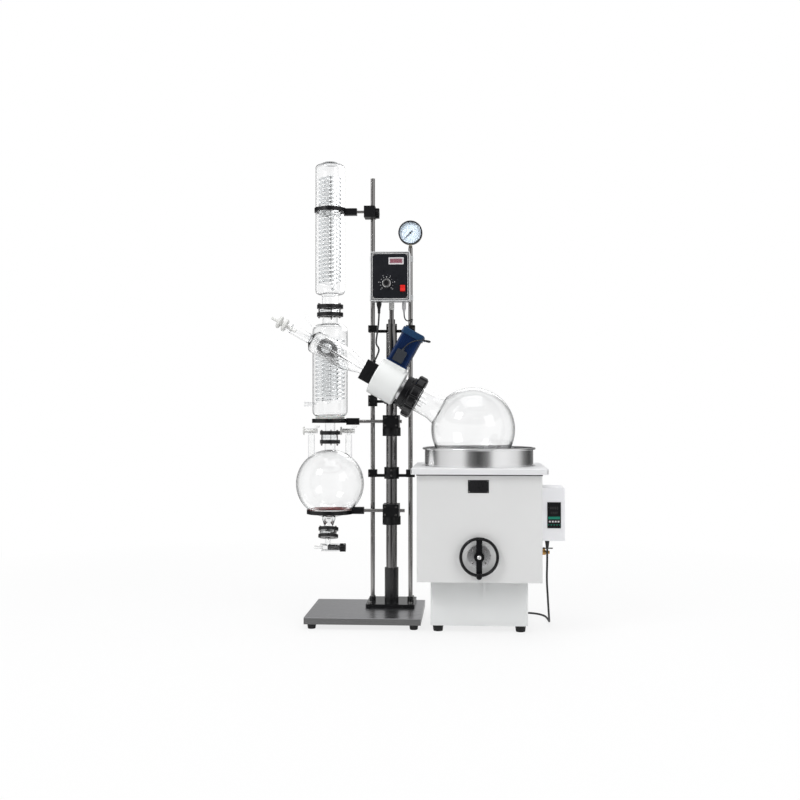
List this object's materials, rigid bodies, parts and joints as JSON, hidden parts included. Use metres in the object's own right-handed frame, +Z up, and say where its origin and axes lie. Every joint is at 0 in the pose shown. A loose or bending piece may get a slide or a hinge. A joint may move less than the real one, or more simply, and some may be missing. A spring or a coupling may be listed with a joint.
{
  "type": "rotary evaporator",
  "caption": "Floor-standing rotary evaporator with glass condensers over a column stand, a tilted drive head with a round flask, and a separate lifting water bath.",
  "frame": {"origin": "on the floor, on the axis of the main column", "axes": "+X from the column to the water bath, +Y away from the viewer, +Z up"},
  "size_m": [1.1649, 0.67, 1.884],
  "materials": {
    "base_tray": "satin",
    "rubber_feet": "matte",
    "foot_plate": "satin",
    "main_column": "brushed",
    "steel_rods": "polished",
    "rod_braces": "satin",
    "stand_clamps": "satin",
    "bosshead_knob": "matte",
    "ring_clamps": "satin",
    "ring_cushions": "matte",
    "steel_fasteners": "polished",
    "control_box_shell": "satin",
    "spindle_sleeve": "matte",
    "control_panel": "satin",
    "speed_display": "gloss",
    "speed_knob": "satin",
    "power_rocker": "gloss",
    "gauge_case": "gloss",
    "gauge_glass": "clear",
    "gauge_needle": "matte",
    "head_bracket": "satin",
    "gear_housing": "gloss",
    "spindle_bearings": "polished",
    "hollow_spindle": "machined",
    "drive_pinion": "machined",
    "motor_flange": "satin",
    "drive_motor": "gloss",
    "motor_cap": "satin",
    "terminal_box": "matte",
    "seal_housing": "satin",
    "flask_hub": "satin",
    "ring_nut": "satin",
    "evaporating_flask": "clear",
    "vapour_duct": "clear",
    "feed_valve_knob": "matte",
    "joint_clamps": "satin",
    "upper_condenser": "clear",
    "lower_condenser": "clear",
    "condenser_coils": "clear",
    "receiver_flask": "clear",
    "left_vent_key": "matte",
    "right_vent_key": "matte",
    "drain_valve": "clear",
    "drain_knob": "matte",
    "seal_cable": "matte",
    "motor_cable": "matte",
    "motor_lead": "matte",
    "bath_pedestal": "satin",
    "bath_shell": "satin",
    "bath_lid": "satin",
    "bath_pot": "polished",
    "lift_wheel": "satin",
    "wheel_grip": "gloss",
    "bath_side_box": "satin",
    "temperature_controller": "satin",
    "drain_cock": "machined",
    "cock_lever": "gloss",
    "bath_cord": "matte",
    "bath_cord_coil": "matte",
    "bath_plug": "matte"
  },
  "bodies": {
    "stand": {"base_tray": "base_tray", "rubber_feet": "rubber_feet", "foot_plate": "foot_plate", "main_column": "main_column", "steel_rods": "steel_rods", "rod_braces": "rod_braces", "stand_clamps": "stand_clamps", "ring_clamps": "ring_clamps", "ring_cushions": "ring_cushions", "steel_fasteners": "steel_fasteners", "control_box_shell": "control_box_shell", "spindle_sleeve": "spindle_sleeve", "control_panel": "control_panel", "speed_display": "speed_display", "gauge_case": "gauge_case", "gauge_glass": "gauge_glass", "head_bracket": "head_bracket", "gear_housing": "gear_housing", "spindle_bearings": "spindle_bearings", "motor_flange": "motor_flange", "drive_motor": "drive_motor", "motor_cap": "motor_cap", "terminal_box": "terminal_box", "seal_housing": "seal_housing", "vapour_duct": "vapour_duct", "joint_clamps": "joint_clamps", "upper_condenser": "upper_condenser", "lower_condenser": "lower_condenser", "condenser_coils": "condenser_coils", "receiver_flask": "receiver_flask", "drain_valve": "drain_valve", "seal_cable": "seal_cable", "motor_cable": "motor_cable", "motor_lead": "motor_lead", "bath_pedestal": "bath_pedestal", "bath_cord": "bath_cord", "bath_cord_coil": "bath_cord_coil", "bath_plug": "bath_plug"},
    "flask_drive": {"hollow_spindle": "hollow_spindle", "flask_hub": "flask_hub", "ring_nut": "ring_nut", "evaporating_flask": "evaporating_flask"},
    "drive_pinion": {"drive_pinion": "drive_pinion"},
    "bath_lift": {"bath_shell": "bath_shell", "bath_lid": "bath_lid", "bath_pot": "bath_pot", "bath_side_box": "bath_side_box", "temperature_controller": "temperature_controller", "drain_cock": "drain_cock"},
    "lift_wheel": {"lift_wheel": "lift_wheel"},
    "wheel_grip": {"wheel_grip": "wheel_grip"},
    "cock_lever": {"cock_lever": "cock_lever"},
    "speed_knob": {"speed_knob": "speed_knob"},
    "power_rocker": {"power_rocker": "power_rocker"},
    "gauge_needle": {"gauge_needle": "gauge_needle"},
    "bosshead_knob": {"bosshead_knob": "bosshead_knob"},
    "feed_valve_knob": {"feed_valve_knob": "feed_valve_knob"},
    "left_vent_key": {"left_vent_key": "left_vent_key"},
    "right_vent_key": {"right_vent_key": "right_vent_key"},
    "drain_knob": {"drain_knob": "drain_knob"}
  },
  "joints": [
    {"name": "flask_spin", "type": "hinge", "parent": "stand", "child": "flask_drive", "pos_m": [0.01539, -0.198, 0.95638], "axis": [-0.8746, 0, 0.4848], "continuous": true},
    {"name": "pinion_spin", "type": "hinge", "parent": "stand", "child": "drive_pinion", "pos_m": [0.02524, -0.198, 1.01952], "axis": [0.4848, 0, 0.8746], "continuous": true},
    {"name": "bath_lift", "type": "slide", "parent": "stand", "child": "bath_lift", "axis": [0, 0, 1], "range_m": [-0.15, 0], "deforming": ["bath_cord"]},
    {"name": "wheel_turn", "type": "hinge", "parent": "bath_lift", "child": "lift_wheel", "pos_m": [0.361, -0.44, 0.302], "axis": [0, 1, 0], "range_deg": [-540, 2]},
    {"name": "grip_turn", "type": "hinge", "parent": "lift_wheel", "child": "wheel_grip", "pos_m": [0.361, -0.47, 0.233], "axis": [0, 1, 0], "continuous": true},
    {"name": "cock_turn", "type": "hinge", "parent": "bath_lift", "child": "cock_lever", "pos_m": [0.6155, -0.25, 0.31], "axis": [0, 0, 1], "range_deg": [0, 90]},
    {"name": "speed_turn", "type": "hinge", "parent": "stand", "child": "speed_knob", "pos_m": [-0.014, -0.096, 1.374], "axis": [0, 1, 0], "range_deg": [-150, 150]},
    {"name": "power_switch", "type": "hinge", "parent": "stand", "child": "power_rocker", "pos_m": [0.052, -0.09, 1.3535], "axis": [1, 0, 0], "range_deg": [-7, 7]},
    {"name": "gauge_reading", "type": "hinge", "parent": "stand", "child": "gauge_needle", "pos_m": [0.079, -0.0105, 1.594], "axis": [0, 1, 0], "range_deg": [0, 270]},
    {"name": "bosshead_lock", "type": "hinge", "parent": "stand", "child": "bosshead_knob", "pos_m": [-0.06, 0, 1.678], "axis": [-1, 0, 0], "range_deg": [0, 360]},
    {"name": "feed_valve", "type": "hinge", "parent": "stand", "child": "feed_valve_knob", "pos_m": [-0.42192, -0.198, 1.19878], "axis": [-0.8746, 0, 0.4848], "range_deg": [0, 360]},
    {"name": "left_vent", "type": "hinge", "parent": "stand", "child": "left_vent_key", "pos_m": [-0.332, -0.039, 0.7675], "axis": [1, 0, 0], "range_deg": [0, 180]},
    {"name": "right_vent", "type": "hinge", "parent": "stand", "child": "right_vent_key", "pos_m": [-0.176, -0.039, 0.7675], "axis": [1, 0, 0], "range_deg": [0, 180]},
    {"name": "drain_valve_turn", "type": "hinge", "parent": "stand", "child": "drain_knob", "pos_m": [-0.22, -0.10785, 0.29206], "axis": [1, 0, 0], "range_deg": [0, 360]}
  ],
  "couplings": [
    {"joint": "pinion_spin", "follows": "flask_spin", "ratio": -3},
    {"joint": "wheel_turn", "follows": "bath_lift", "rad_per_m": 62.5}
  ]
}
